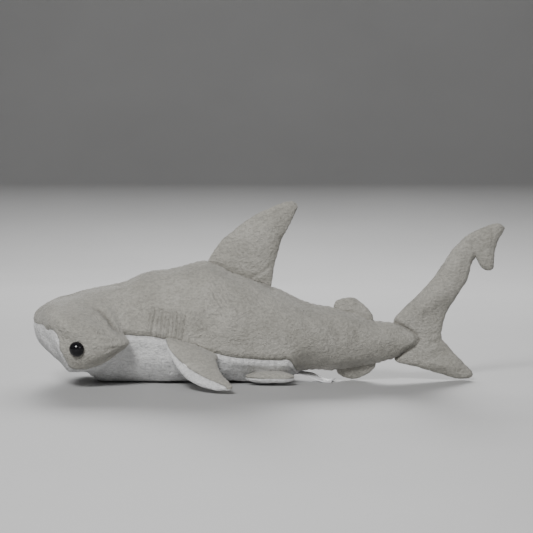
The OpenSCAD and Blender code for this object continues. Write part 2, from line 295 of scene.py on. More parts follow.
def multiply(nodes, links, first, second, share):
    mix = nodes.new("ShaderNodeMix")
    mix.data_type = "RGBA"
    mix.blend_type = "MULTIPLY"
    mix.inputs["Factor"].default_value = share
    links.new(first, mix.inputs["A"])
    links.new(second, mix.inputs["B"])
    return mix.outputs["Result"]


plush = {
    "pileScale": 1100.0,  # single tufts, per metre
    "clumpScale": 430.0,  # tufts that lean together
    "strokeScale": 42.0,  # patches brushed one way
    "pileBump": 0.5,
    "pileHeight": 0.0006,
    "pileShade": 0.65,
    "clumpBump": 0.85,
    "clumpHeight": 0.0026,
    "clumpShade": 0.7,
    "pressedColour": (0.4, 0.39, 0.38),  # painted shade: the colour that seams' grooves, creases and fin roots are darkened towards
    "roughness": 0.95,
    "sheen": 0.3,
}


def plushMaterial(name, dark, light):
    material, nodes, links, shader = newMaterial(name)
    place = nodes.new("ShaderNodeTexCoord").outputs["Object"]
    brushed = nodes.new("ShaderNodeMapping")  # the pile leans towards the tail
    brushed.inputs["Scale"].default_value = (0.75, 1.0, 1.0)
    links.new(place, brushed.inputs["Vector"])
    strokes = noiseNode(nodes, links, brushed.outputs["Vector"], plush["strokeScale"], 4, 0.6)
    clumps = noiseNode(nodes, links, brushed.outputs["Vector"], plush["clumpScale"], 3, 0.65)
    pile = noiseNode(nodes, links, place, plush["pileScale"], 2, 0.7)
    colour = rampNode(nodes, links, strokes, 0.34, 0.66, dark, light)
    clumpShade = rampNode(nodes, links, clumps, 0.38, 0.6, (0.7, 0.7, 0.7), (1, 1, 1))
    pileShade = rampNode(nodes, links, pile, 0.3, 0.6, (0.76, 0.76, 0.76), (1, 1, 1))
    colour = multiply(nodes, links, colour, clumpShade, plush["clumpShade"])
    colour = multiply(nodes, links, colour, pileShade, plush["pileShade"])
    # painted shade: each piece's attribute darkens the colour in seams' grooves, creases and round
    # fin roots
    pressed = nodes.new("ShaderNodeAttribute")
    pressed.attribute_name = "pressed"
    seamShade = rampNode(
        nodes, links, pressed.outputs["Fac"], 0, 1, (1, 1, 1), plush["pressedColour"]
    )
    colour = multiply(nodes, links, colour, seamShade, 1)
    links.new(colour, shader.inputs["Base Color"])
    shader.inputs["Roughness"].default_value = plush["roughness"]
    shader.inputs["Specular IOR Level"].default_value = 0.12
    shader.inputs["Sheen Weight"].default_value = plush["sheen"]
    shader.inputs["Sheen Roughness"].default_value = 0.4
    clumpBump = nodes.new("ShaderNodeBump")
    clumpBump.inputs["Strength"].default_value = plush["clumpBump"]
    clumpBump.inputs["Distance"].default_value = plush["clumpHeight"]
    links.new(clumps, clumpBump.inputs["Height"])
    pileBump = nodes.new("ShaderNodeBump")
    pileBump.inputs["Strength"].default_value = plush["pileBump"]
    pileBump.inputs["Distance"].default_value = plush["pileHeight"]
    links.new(pile, pileBump.inputs["Height"])
    links.new(clumpBump.outputs["Normal"], pileBump.inputs["Normal"])
    links.new(pileBump.outputs["Normal"], shader.inputs["Normal"])
    return material


greyPlush = plushMaterial("greyPlush", (0.44, 0.425, 0.38), (0.53, 0.513, 0.465))
whitePlush = plushMaterial("whitePlush", (0.84, 0.84, 0.835), (0.92, 0.92, 0.915))


def threadMaterial(name, colour):
    material, nodes, links, shader = newMaterial(name)
    place = nodes.new("ShaderNodeTexCoord").outputs["Object"]
    twist = nodes.new("ShaderNodeTexWave")
    twist.bands_direction = "DIAGONAL"
    twist.inputs["Scale"].default_value = 700
    twist.inputs["Distortion"].default_value = 1.5
    links.new(place, twist.inputs["Vector"])
    darker = tuple(0.7 * c for c in colour)
    links.new(
        rampNode(nodes, links, twist.outputs["Fac"], 0.2, 0.8, darker, colour),
        shader.inputs["Base Color"],
    )
    shader.inputs["Roughness"].default_value = 0.7
    return material


greyThread = threadMaterial("greyThread", (0.36, 0.35, 0.32))
whiteThread = threadMaterial("whiteThread", (0.8, 0.8, 0.79))


def satinMaterial():
    material, nodes, links, shader = newMaterial("labelSatin")
    place = nodes.new("ShaderNodeTexCoord").outputs["Object"]
    weave = nodes.new("ShaderNodeTexWave")
    weave.inputs["Scale"].default_value = 900
    links.new(place, weave.inputs["Vector"])
    links.new(
        rampNode(nodes, links, weave.outputs["Fac"], 0, 1, (0.84, 0.84, 0.86), (0.93, 0.93, 0.95)),
        shader.inputs["Base Color"],
    )
    shader.inputs["Roughness"].default_value = 0.38
    shader.inputs["Sheen Weight"].default_value = 0.3
    return material


labelSatin = satinMaterial()


def fibreMaterial():
    material, nodes, links, shader = newMaterial("polyesterFibre")
    place = nodes.new("ShaderNodeTexCoord").outputs["Object"]
    fibres = noiseNode(nodes, links, place, 900, 5, 0.7)
    links.new(
        rampNode(nodes, links, fibres, 0.3, 0.7, (0.78, 0.78, 0.78), (0.93, 0.93, 0.93)),
        shader.inputs["Base Color"],
    )
    shader.inputs["Roughness"].default_value = 0.9
    return material


polyesterFibre = fibreMaterial()


def eyeMaterial():
    material, nodes, links, shader = newMaterial("eyeGloss")
    place = nodes.new("ShaderNodeTexCoord").outputs["Object"]
    scuffs = noiseNode(nodes, links, place, 260, 4, 0.6)
    links.new(
        rampNode(nodes, links, scuffs, 0.2, 0.9, (0.004, 0.004, 0.005), (0.012, 0.011, 0.013)),
        shader.inputs["Base Color"],
    )
    shader.inputs["Roughness"].default_value = 0.07
    shader.inputs["Specular IOR Level"].default_value = 0.3
    shader.inputs["Coat Weight"].default_value = 0.25
    shader.inputs["Coat Roughness"].default_value = 0.03
    return material


eyeGloss = eyeMaterial()


def washerMaterial():
    material, nodes, links, shader = newMaterial("washerPlastic")
    place = nodes.new("ShaderNodeTexCoord").outputs["Object"]
    grain = noiseNode(nodes, links, place, 1200, 2)
    links.new(
        rampNode(nodes, links, grain, 0.3, 0.7, (0.72, 0.72, 0.7), (0.82, 0.82, 0.8)),
        shader.inputs["Base Color"],
    )
    shader.inputs["Roughness"].default_value = 0.45
    return material


washerPlastic = washerMaterial()
print("materials made")

# ---- body and head
# Each station: x of the back's line, x of the belly's line, x and half width of the widest
# point, its height, the middle's height, rise to the back, drop to the belly, seam angle from
# the back's line, fullness of the top and of the belly. The CAD body has the same stations,
# but for the last ones, which are fuller here where the body's tip lies over the tail fin.
body = {
    "stations": [
        [-225, -225, -225, 1, 57, 57, 1.5, 1.5, 90, 2.2, 2.0],
        [-223, -223, -222, 18, 57, 56, 8.5, 10, 90, 2.2, 2.0],
        [-219, -219, -216, 36, 56, 55, 14, 17, 90, 2.4, 2.1],
        [-213, -212, -208, 52, 54, 53, 20.5, 22, 90, 2.6, 2.2],
        [-206, -204, -199, 66, 51, 51, 26, 25.5, 92, 2.8, 2.3],
        [-199, -197, -186, 77, 47, 49, 30.7, 28, 112, 3.0, 2.5],
        [-194, -190, -170, 81, 43, 48, 33, 35, 128, 3.1, 2.7],
        [-188, -183, -153, 80, 41, 48, 34.7, 35.5, 128, 3.0, 2.7],
        [-183, -176, -138, 75, 41, 48, 36.3, 36.5, 121, 2.8, 2.5],
        [-176, -169, -129, 66, 42, 48, 38.2, 39, 98, 2.5, 2.4],
        [-152, -161, -133, 51, 46, 47, 44.4, 46, 89, 2.2, 2.3],
        [-136, -140, -122, 46.5, 46, 46, 49.3, 46, 89, 2.1, 2.4],
        [-117, -117, -109, 47, 45, 45, 57.6, 45, 89, 2.1, 2.5],
        [-94, -96, -94, 48.5, 43, 43, 64, 43, 90, 2.1, 2.6],
        [-75, -76, -75, 50, 42, 42, 69.5, 42, 93, 2.1, 2.6],
        [-58, -58, -58, 50, 41, 41, 72.5, 41, 97, 2.1, 2.6],
        [-35, -35, -35, 49, 40, 40, 65, 40, 103, 2.1, 2.6],
        [-12, -12, -12, 46, 40, 40, 56, 40, 108, 2.1, 2.5],
        [8, 8, 8, 43, 40, 40, 48, 39.5, 111, 2.1, 2.4],
        [21, 21, 21, 40.5, 40, 40, 42, 36, 118, 2.1, 2.3],
        [31, 31, 31, 38, 40, 40, 37.5, 30.5, 170, 2.1, 2.2],
        [45, 45, 45, 34.5, 40, 40, 33, 29.5, 180, 2.1, 2.1],
        [62, 62, 62, 30, 40, 40, 29.5, 29, 180, 2.1, 2.1],
        [80, 80, 80, 25.5, 40, 40, 24.5, 26.5, 180, 2.1, 2.1],
        [98, 98, 98, 21, 39, 39, 19.5, 22.5, 180, 2.1, 2.1],
        [112, 112, 112, 17.5, 39, 39, 17.5, 19.5, 180, 2.1, 2.1],
        [122, 122, 122, 14.5, 39, 39, 16.3, 17, 180, 2.1, 2.1],
        [131, 131, 131, 12.6, 39, 39, 12.8, 12, 180, 2.0, 2.0],
        [138, 138, 138, 10.6, 39, 39, 9, 8.6, 180, 2.0, 2.0],
        [142, 142, 142, 8, 39, 39, 5.6, 5.4, 180, 2.0, 2.0],
        [144, 144, 144, 4, 39, 39, 1, 1, 180, 2.0, 2.0],
    ],
    "mouth": 9,  # station of the mouth seam
    "bellyEnd": 20,  # station of the belly panel's rear point
    "rowStep": 1.1,  # distance between rows of points
    "sideColumns": 110,
    "bellyColumns": 90,
    "tailFold": ((102, 0, 40), (150, 0, 40)),  # where the body's fabric bends to the tail fin
    "fabric": 1.6,
    "press": 1.2,  # how far the floor flattens the belly
    "pressHeight": 30,  # the height at which that ends
    "scallops": [(1.0, 3.1, 5.0), (3.3, 4.75, 9.0)],  # stations from and to, and degrees
    "groove": 1.5,  # depth of a seam's valley
    "grooveWidth": 2.4,
    "roll": 0.55,  # swelling beside a seam
    "rollWidth": 4,
    "pucker": 0.3,
    "puckerStep": 6.5,
    "finGroove": 0.7,  # depth of the valley round a fin's root
    "finGrooveWidth": 1.6,
    "socket": 1.3,  # how far an eye pulls the fabric in
    "socketWidth": 11,
    "clothStep": 4.0,
    "clothRing": 72,
    "clothCap": 2.8,
    "chinLift": 2.0,  # how much less the head's underside swells between the lobes
    "shrink": 1.0,  # the panels start this much smaller, because stuffing swells them
    "rearFirmness": 0.55,  # how much less the rear body swells, because it is packed firmly
}
eyePlace = np.array(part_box("eye_left")).mean(0) / mm
stationCount = len(body["stations"]) - 1


def seamAngle(u):
    # the belly seam's angle, with the two scallops that it makes under the snout
    angle = curveThrough([[r[8]] for r in body["stations"]], u)[..., 0]
    for start, end, drop in body["scallops"]:
        rise = easeIn(u, start, end - 0.2)
        fall = 1 - easeIn(u, end - 0.2, end + 0.12)
        angle = angle - drop * rise * fall
    return np.clip(angle, 80, 180)


def skin(u, angle):
    # the body's surface: angle 0 is the back's line, 180 the belly's, and over 180 the right side
    angle = angle % 360
    right = angle > 180
    a = np.radians(np.where(right, 360 - angle, angle))
    r = curveThrough(body["stations"], u)
    top = np.cos(a) >= 0
    full = np.where(top, r[..., 9], r[..., 10])
    out = np.abs(np.sin(a)) ** (2 / full)
    up = np.abs(np.cos(a)) ** (2 / full)
    lineX = np.where(top, r[..., 0], r[..., 1])
    x = r[..., 2] + (lineX - r[..., 2]) * up
    z = r[..., 5] + (r[..., 4] - r[..., 5]) * out + np.where(top, r[..., 6], -r[..., 7]) * up
    y = np.maximum(r[..., 3], 0.5) * out * np.where(right, 1, -1)
    z = z - body["press"] * np.maximum(0, 1 - z / body["pressHeight"])
    return np.stack([x, y, np.maximum(z, 0)], -1)


def evenStations(first, last, step):
    # station numbers whose rows lie about a step apart along the body's widest line
    u = np.linspace(first, last, 2000)
    line = skin(u, np.full_like(u, 75.0))
    run = np.concatenate([[0], np.cumsum(np.linalg.norm(np.diff(line, axis=0), axis=1))])
    count = max(int(run[-1] / step), 4)
    return np.interp(np.linspace(0, run[-1], count + 1), run, u)


def sideView(p):
    # where a point shows from the side, in mm on the plane through the middle
    depth = np.abs(p[..., 1])
    near = 1 - depth * mm / studio["distance"]
    rise = studio["eyeHeight"] / studio["distance"]
    return np.stack([p[..., 0] / near, (p[..., 2] - rise * depth) / near], -1)


# Stitched and folded lines on the sides: x and z seen from the side, then depth and width
creases = {
    "neck": ([(-168, 70), (-160, 65), (-153, 58), (-148, 50), (-141, 43)], 1.9, 2.0),
    "brow": ([(-170, 45), (-157, 45), (-144, 41)], 0.6, 1.6),
    "gatherHigh": ([(-159, 38), (-147, 37), (-136, 35)], 0.55, 1.5),
    "gatherMiddle": ([(-160, 29), (-149, 31), (-137, 34)], 0.6, 1.6),
    "gatherLow": ([(-157, 21), (-147, 26), (-138, 32)], 0.55, 1.5),
    "gatherFront": ([(-174, 22), (-171, 15)], 0.5, 1.6),
    "shoulder": ([(-120, 84), (-112, 78), (-101, 76)], 0.35, 4.0),
    "behindFin": ([(28, 66), (36, 52), (40, 40)], 0.4, 4.5),
    "rearFold": ([(58, 55), (66, 44), (69, 33)], 0.55, 4.0),
    "rearFoldTwo": ([(78, 52), (84, 43), (85, 33)], 0.4, 3.5),
}
gills = {
    "tops": [(-110.5, 66.7), (-103, 65.4), (-96.4, 62.4), (-89.2, 62.4), (-82, 60.2)],
    "feet": [(-114.7, 43.5), (-106, 42), (-99.4, 42), (-91.5, 40.5), (-85.5, 39.8)],
    "ridge": 1.5,  # height of each pinched tuck
    "halfWidth": 1.9,  # from a tuck's middle to its stitches
}
rub = {"middle": (-52, 74), "size": (12, 15), "depth": 0.8, "step": 3.6}


# Lines where the fins meet the body, seen from the side, and how far each one lies from the
# middle plane. The tail's runs round the tip of the body, which lies over the fin.
finRoots = {
    "dorsalFin": ([(-61, 116), (-50, 112), (-38, 107), (-19, 99), (-8, 94), (4, 88)], 7),
    "rearDorsal": ([(60, 72), (70, 69), (84, 65), (101, 60)], 5),
    "analFin": ([(63, 10), (75, 9.5), (90, 11.5), (104, 15)], 6),
    "tailFin": (
        [(120, 56), (131, 50.5), (139, 45.5), (143.5, 38.8), (139, 32), (131, 27), (120, 21)],
        6,
    ),
}


def rootDistance(p):
    flat = sideView(p)
    away = np.full(p.shape[:-1], 99.0)
    for line, offset in finRoots.values():
        beside = np.maximum(np.abs(np.abs(p[..., 1]) - offset) - 5, 0)
        away = np.minimum(away, np.hypot(lineDistance(flat, line)[0], beside))
    return away


def creaseDepth(p):
    flat = sideView(p)
    move = np.zeros(p.shape[:-1])
    for line, depth, width in creases.values():
        away, place = lineDistance(flat, line)
        fade = np.sin(np.pi * np.clip(place, 0.03, 0.97)) ** 0.6
        move += fade * depth * (0.4 * bump(away - 2.3 * width, 1.3 * width) - bump(away, width))
    for top, foot in zip(gills["tops"], gills["feet"]):
        away, place = lineDistance(flat, [top, foot])
        tuck = gills["ridge"] * bump(away, 1.2)
        move += tuck - 1.0 * bump(away - gills["halfWidth"], 0.8)
    x, z = flat[..., 0] - rub["middle"][0], flat[..., 1] - rub["middle"][1]
    patch = np.exp(-((x / rub["size"][0]) ** 2) - (z / rub["size"][1]) ** 2)
    wave = np.sin(2 * np.pi * (0.85 * x + 0.5 * z) / rub["step"] + 2.4 * softNoise(p, 7, 11))
    move += rub["depth"] * patch * wave * easeIn(softNoise(p, 6, 12), -0.6, 0.4)
    return move * easeIn(np.abs(p[..., 1]), 10, 24)


def lumps(p):
    return 0.55 * softNoise(p, 34, 3) + 0.4 * softNoise(p, 14, 5) + 0.16 * softNoise(p, 6, 8)


def bodyStuffing():
    # the whole skin blown up at once, held along its seams
    rows = evenStations(0.4, stationCount - 0.2, body["clothStep"])
    angles = np.arange(body["clothRing"]) * 360 / body["clothRing"]
    u = np.repeat(rows[:, None], len(angles), 1)
    angle = np.repeat(angles[None, :], len(rows), 0)
    rings = skin(u, angle)
    seam = seamAngle(u)
    folded = np.minimum(angle, 360 - angle)
    held = np.maximum(bump(folded, 2.5), bump(folded - seam, 2.5))
    held = np.where((u < 0.8) | (u > stationCount - 1.5), 1, held)
    held = np.where(rings[..., 2] < 1, 1, held)
    move = stuffed("bodyCloth", rings, np.clip(held, 0, 1), body["clothCap"])
    move = 0.5 * move + 0.25 * (np.roll(move, 1, 1) + np.roll(move, -1, 1))
    move[1:-1] = 0.4 * move[1:-1] + 0.3 * (move[2:] + move[:-2])
    return rows, move


clothRows, clothMove = bodyStuffing()


def skinNormals(u, angle):
    alongBody = skin(u + 0.04, angle) - skin(u - 0.04, angle)
    return unitVectors(np.cross(skin(u, angle + 1) - skin(u, angle - 1), alongBody))


def bodySurface(u, angle):
    # the stuffed skin, before its seams and folds
    grid = skin(u, angle)
    normals = skinNormals(u, angle)
    row = np.interp(u, clothRows, np.arange(len(clothRows)))
    moved = sampled(clothMove, row, (angle % 360) / 360 * body["clothRing"])
    fade = easeIn(u, 0, 1.2) * (1 - easeIn(u, stationCount - 3, stationCount - 0.5))
    fade = fade * (1 - body["rearFirmness"] * easeIn(u, 20, 23))
    return grid, normals, moved * fade[..., None]


def bodyDetail(u, angle):
    grid, normals, moved = bodySurface(u, angle)
    widths = np.linalg.norm(np.diff(grid, axis=1), axis=2)
    run = np.concatenate([np.zeros((len(grid), 1)), np.cumsum(widths, axis=1)], axis=1)
    edge = np.minimum(run, run[:, -1:] - run)
    along = np.linalg.norm(np.diff(grid[:, :1], axis=0), axis=2)
    along = np.concatenate([[[0]], np.cumsum(along, axis=0)])
    pucker = np.sin(2 * np.pi * along / body["puckerStep"] + 2.5 * softNoise(grid, 11, 21))
    firm = 0.35 + 0.65 * easeIn(u, 3.5, 7)  # the snout's seam is drawn in less
    move = -body["groove"] * bump(edge, body["grooveWidth"])
    move = move + body["roll"] * bump(edge - 6, body["rollWidth"])
    move = (move + body["pucker"] * pucker * bump(edge - 2.5, 3.2)) * firm
    folds = creaseDepth(grid)
    roots = rootDistance(grid)
    move = move + (lumps(grid) + folds) * easeIn(edge, 0.5, 6)
    move = move - body["finGroove"] * bump(roots, body["finGrooveWidth"])
    mirrored = np.stack([grid[..., 0], -np.abs(grid[..., 1]), grid[..., 2]], -1)
    fromEye = np.linalg.norm(mirrored - eyePlace, axis=-1)
    move = move - body["socket"] * bump(fromEye, body["socketWidth"])
    chin = easeIn(u, 4, 6) * (1 - easeIn(u, 8.4, 9)) * easeIn(np.abs(angle - 180), 70, 30)
    move = move - body["shrink"] * easeIn(edge, 1, 12) - body["chinLift"] * chin
    out = grid + moved + normals * move[..., None]
    out[..., 2] = np.maximum(out[..., 2], 0.15)
    # painted shade: darker in the seams' grooves, round the fins' roots and in the creases'
    # valleys
    shade = 0.5 * firm * bump(edge, 1.0) + 0.45 * bump(roots, 1.1) + 0.4 * np.maximum(-folds, 0)
    return out, shade


def sidePanel(name, side):
    rows = evenStations(0, stationCount, body["rowStep"])
    share = np.linspace(0, 1, body["sideColumns"] + 1)
    share = share if side < 0 else share[::-1]
    u = np.repeat(rows[:, None], len(share), 1)
    angle = seamAngle(u) * share
    grid, shade = bodyDetail(u, angle if side < 0 else 360 - angle)
    grid[..., 1] = side * np.maximum(side * grid[..., 1], 0.02)
    grid[np.abs(np.sin(np.radians(angle))) < 1e-3, 1] = side * 0.02
    return fabricPiece(name, grid, body["fabric"], greyPlush, shade=shade)


def underPanel(name, first, last):
    rows = evenStations(first, last, body["rowStep"])
    share = np.linspace(0, 1, body["bellyColumns"] + 1)
    u = np.repeat(rows[:, None], len(share), 1)
    seam = np.minimum(seamAngle(u), 178.5)
    grid, shade = bodyDetail(u, seam + (360 - 2 * seam) * share)
    return fabricPiece(name, grid, body["fabric"], whitePlush, shade=0.7 * shade)


sideLeft = sidePanel("sidePanelLeft", -1)
sideRight = sidePanel("sidePanelRight", 1)
headUnder = underPanel("headUndersidePanel", 0, body["mouth"])
belly = underPanel("bellyPanel", body["mouth"], body["bellyEnd"])
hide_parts("side_panel_left")
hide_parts("side_panel_right")
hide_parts("head_underside_panel")
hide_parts("belly_panel")
for piece in (sideLeft, sideRight):
    bendAcross(piece, body["tailFold"])
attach(headUnder, "torso")
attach(belly, "torso")
print("body panels made")

# ---- fins
# Rows from the root to the tip: a point on the leading edge, one on the trailing edge, and the
# half thickness between them. The fold is where the fabric bends, from the body to the fin.
fins = {
    "dorsalFin": {
        "words": ("Left", "Right"),
        "length": 95,
        "fold": ((-30.8, 0, 99.4), (-25.5, 0, 112.4)),
        "up": (0, -1, 0),
        "rootShade": 0,
        "rows": [
            [-59, 0, 112, 2, 0, 87.5, 3],
            [-57, 0, 118, 3.5, 0, 97, 6.5],
            [-50, 0, 127.5, 5, 0, 108, 7.5],
            [-41, 0, 138, 9, 0, 122.5, 8.5],
            [-27, 0, 149, 12, 0, 133, 8],
            [-12, 0, 158.5, 16, 0, 142, 7],
            [3, 0, 166, 21.5, 0, 152.5, 6],
            [13, 0, 170, 25.5, 0, 160.5, 5],
            [19.5, 0, 171.6, 27.4, 0, 165.5, 3.2],
            [22.5, 0, 171.6, 26.8, 0, 168.8, 0.05],
        ],
        "creases": [
            ([(-18, 99), (-8, 102), (4, 112)], 0.8, 1.5),
            ([(-30, 112), (-14, 108), (2, 104)], 0.45, 2.2),
            ([(-22, 146), (-8, 151), (6, 160)], 0.35, 3.0),
        ],
    },
    "rearDorsal": {
        "words": ("Left", "Right"),
        "fold": ((79.5, 0, 61.6), (82.2, 0, 70.2)),
        "length": 30,
        "up": (0, -1, 0),
        "rootShade": 0,
        "rows": [
            [62, 0, 66, 100, 0, 55, 3],
            [61.5, 0, 70.5, 100, 0, 60.5, 4.2],
            [63.5, 0, 75.5, 97, 0, 66, 4.4],
            [69, 0, 78.2, 90.5, 0, 73, 3.8],
            [74, 0, 79.3, 84, 0, 77.8, 2.4],
            [77, 0, 79.6, 80.5, 0, 79.2, 0.05],
        ],
        "creases": [([(69, 66), (80, 66), (94, 61)], 0.5, 1.4)],
    },
    "analFin": {
        "words": ("Left", "Right"),
        "fold": ((82.7, 0, 16.4), (84.2, 0, 7.6)),
        "length": 26,
        "up": (0, -1, 0),
        "rootShade": 0,
        "rows": [
            [65, 0, 14, 102, 0, 20, 3],
            [64.5, 0, 8.4, 102.5, 0, 14.6, 4.2],
            [68, 0, 5.0, 99, 0, 9.6, 4.4],
            [72, 0, 2.8, 94, 0, 5.8, 3.6],
            [76.5, 0, 1.6, 88, 0, 2.8, 2.2],
            [79, 0, 1.4, 85, 0, 1.8, 0.05],
        ],
    },
    "tailFin": {
        "words": ("Left", "Right"),
        "length": 200,
        "fold": body["tailFold"],
        "overlap": finRoots["tailFin"][0],  # the body's tip, lying over the fin
        "up": (0, -1, 0),
        "rootShade": 0,
        "rows": [
            [183, 0, 1.2, 191, 0, 1.6, 0.05],
            [176, 0, 2.4, 195, 0, 4, 4],
            [160, 0, 7, 194, 0, 9, 6.5],
            [140, 0, 13, 187, 0, 16.5, 8.5],
            [120, 0, 19, 178, 0, 25.7, 7],
            [123, 0, 29, 171, 0, 34, 5.8],
            [127, 0, 38.5, 165.5, 0, 41, 5.4],
            [124, 0, 48, 166.5, 0, 52, 5.8],
            [119, 0, 58, 171, 0, 66.5, 7.5],
            [141, 0, 81.5, 180, 0, 81.5, 9.5],
            [155, 0, 97, 189, 0, 96.5, 9.5],
            [165, 0, 110.5, 193.5, 0, 111.5, 8.5],
            [174, 0, 123.5, 197, 0, 118, 8],
            [181, 0, 131.5, 198.5, 0, 119.3, 7.5],
            [187.5, 0, 137.3, 199.7, 0, 114.5, 7],
            [193, 0, 141, 202.3, 0, 108.7, 6.6],
            [197.5, 0, 143.4, 207.8, 0, 105.2, 6.3],
            [202, 0, 145.5, 213.6, 0, 106.9, 6],
            [206.5, 0, 147.4, 214.9, 0, 115.5, 5.7],
            [211, 0, 149, 215.8, 0, 123.5, 5.2],
            [215.5, 0, 150, 219, 0, 133.5, 4.5],
            [219, 0, 150.2, 223.3, 0, 141.5, 3.2],
            [221.5, 0, 149.4, 225, 0, 146, 0.05],
        ],
        "creases": [
            ([(168, 56), (158, 62), (148, 64)], 0.5, 2.0),
            ([(167, 47), (158, 44), (150, 45)], 0.55, 1.8),
            ([(166, 40), (157, 36), (150, 30)], 0.45, 2.0),
            ([(197, 121), (194, 127), (193.5, 134)], 0.6, 1.6),
            ([(200, 122), (205, 126), (212, 127)], 0.5, 1.8),
            ([(176, 78), (168, 84), (160, 85)], 0.35, 3.0),
        ],
    },
    "pectoral": {
        "words": ("Top", "Under"),
        "fold": ((-72.8, -47.5, 36.5), (-71.1, -56.8, 31)),
        "length": 92,
        "wrap": 62,  # how far the white underside comes round the leading edge, in degrees
        "wrapFrom": 0.6,
        "up": (0.31, -0.27, 0.91),
        "rootShade": 0.2,
        "rows": [
            [-97, -44, 45, -47, -44, 28, 3.5],
            [-96, -51.5, 42.5, -48, -52, 26, 5],
            [-92, -62, 32, -48, -64, 23, 6.2],
            [-80, -78, 17, -46, -78, 17.5, 6.6],
            [-66, -93, 9, -41, -92, 12.5, 5.8],
            [-52, -104, 6, -35, -103.5, 8.5, 4.4],
            [-43, -108.6, 5, -33, -108.4, 6.2, 2.6],
            [-39, -109.6, 4.6, -34.5, -109.8, 5.2, 0.05],
        ],
        "creases": [],
    },
    "pelvic": {
        "words": ("Top", "Under"),
        "fold": ((0.3, -30.2, 7.8), (1.7, -37.8, 6.2)),
        "length": 30,
        "wrap": 0,
        "up": (0, -0.15, 1),
        "rootShade": 0.2,
        "rows": [
            [-14, -28, 10, 16, -26, 10, 3],
            [-18, -35, 8.2, 19, -34, 8.6, 4.6],
            [-22, -40.5, 7.4, 22.5, -39.5, 7.8, 5.2],
            [-18, -45.5, 7.2, 23.5, -45, 7.4, 4.8],
            [-10, -49, 7.2, 20, -48.8, 7.2, 3.6],
            [-2, -50.8, 7.2, 14, -50.6, 7.2, 0.05],
        ],
    },
}


finFabric = {
    "step": 3.2,  # distance between the cloth's rings
    "ring": 44,
    "cap": 1.8,
    "columns": 64,
    "thickness": 1.4,
    "pucker": 0.18,
    "puckerStep": 5.5,
    "groove": 0.55,
    "grooveWidth": 0.9,
    "overlapGroove": 1.2,
}


def finPoint(fin, u, a):
    # a runs round the section: 0 on the leading edge, pi on the trailing edge, top side first
    r = curveThrough(fin["rows"], u)
    up = unitVectors(np.array(fin["up"], float))
    share = ((1 - np.cos(a)) / 2)[..., None]
    lead, trail = r[..., 0:3], r[..., 3:6]
    bulge = np.sign(np.sin(a)) * np.abs(np.sin(a)) ** 0.8
    return lead + (trail - lead) * share + (r[..., 6] * bulge)[..., None] * up


def finNormals(fin, u, a):
    alongFin = finPoint(fin, u + 0.03, a) - finPoint(fin, u - 0.03, a)
    return unitVectors(np.cross(finPoint(fin, u, a + 0.04) - finPoint(fin, u, a - 0.04), alongFin))


def finStuffing(name, fin):
    # the whole fin blown up as cloth, held at its root and along its edge seam
    last = len(fin["rows"]) - 1
    rows = max(int(fin["length"] / finFabric["step"]), 8)
    u = np.repeat(np.linspace(0, last, rows)[:, None], finFabric["ring"], 1)
    a = np.repeat(np.arange(finFabric["ring"])[None, :] * 2 * math.pi / finFabric["ring"], rows, 0)
    rings = finPoint(fin, u, a)
    span = rings[-1, 0] - rings[0, 0]
    chord = rings[0, finFabric["ring"] // 2] - rings[0, 0]
    if np.cross(chord, span) @ np.array(fin["up"], float) < 0:
        rings, a, u = rings[:, ::-1], a[:, ::-1], u[:, ::-1]
    held = np.maximum(bump(np.sin(a), 0.12), np.clip(2.2 - 1.2 * u, 0, 1))
    held = np.where(u > last - 0.3, 1, held)
    move = stuffed(name, rings, held, finFabric["cap"])
    move = move if a[0, 0] == 0 else move[:, ::-1]
    near = (np.roll(move, 1, 1) + np.roll(move, -1, 1)) / 2
    move = 0.5 * move + 0.5 * near
    move[1:-1] = 0.5 * move[1:-1] + 0.25 * (move[2:] + move[:-2])
    return move


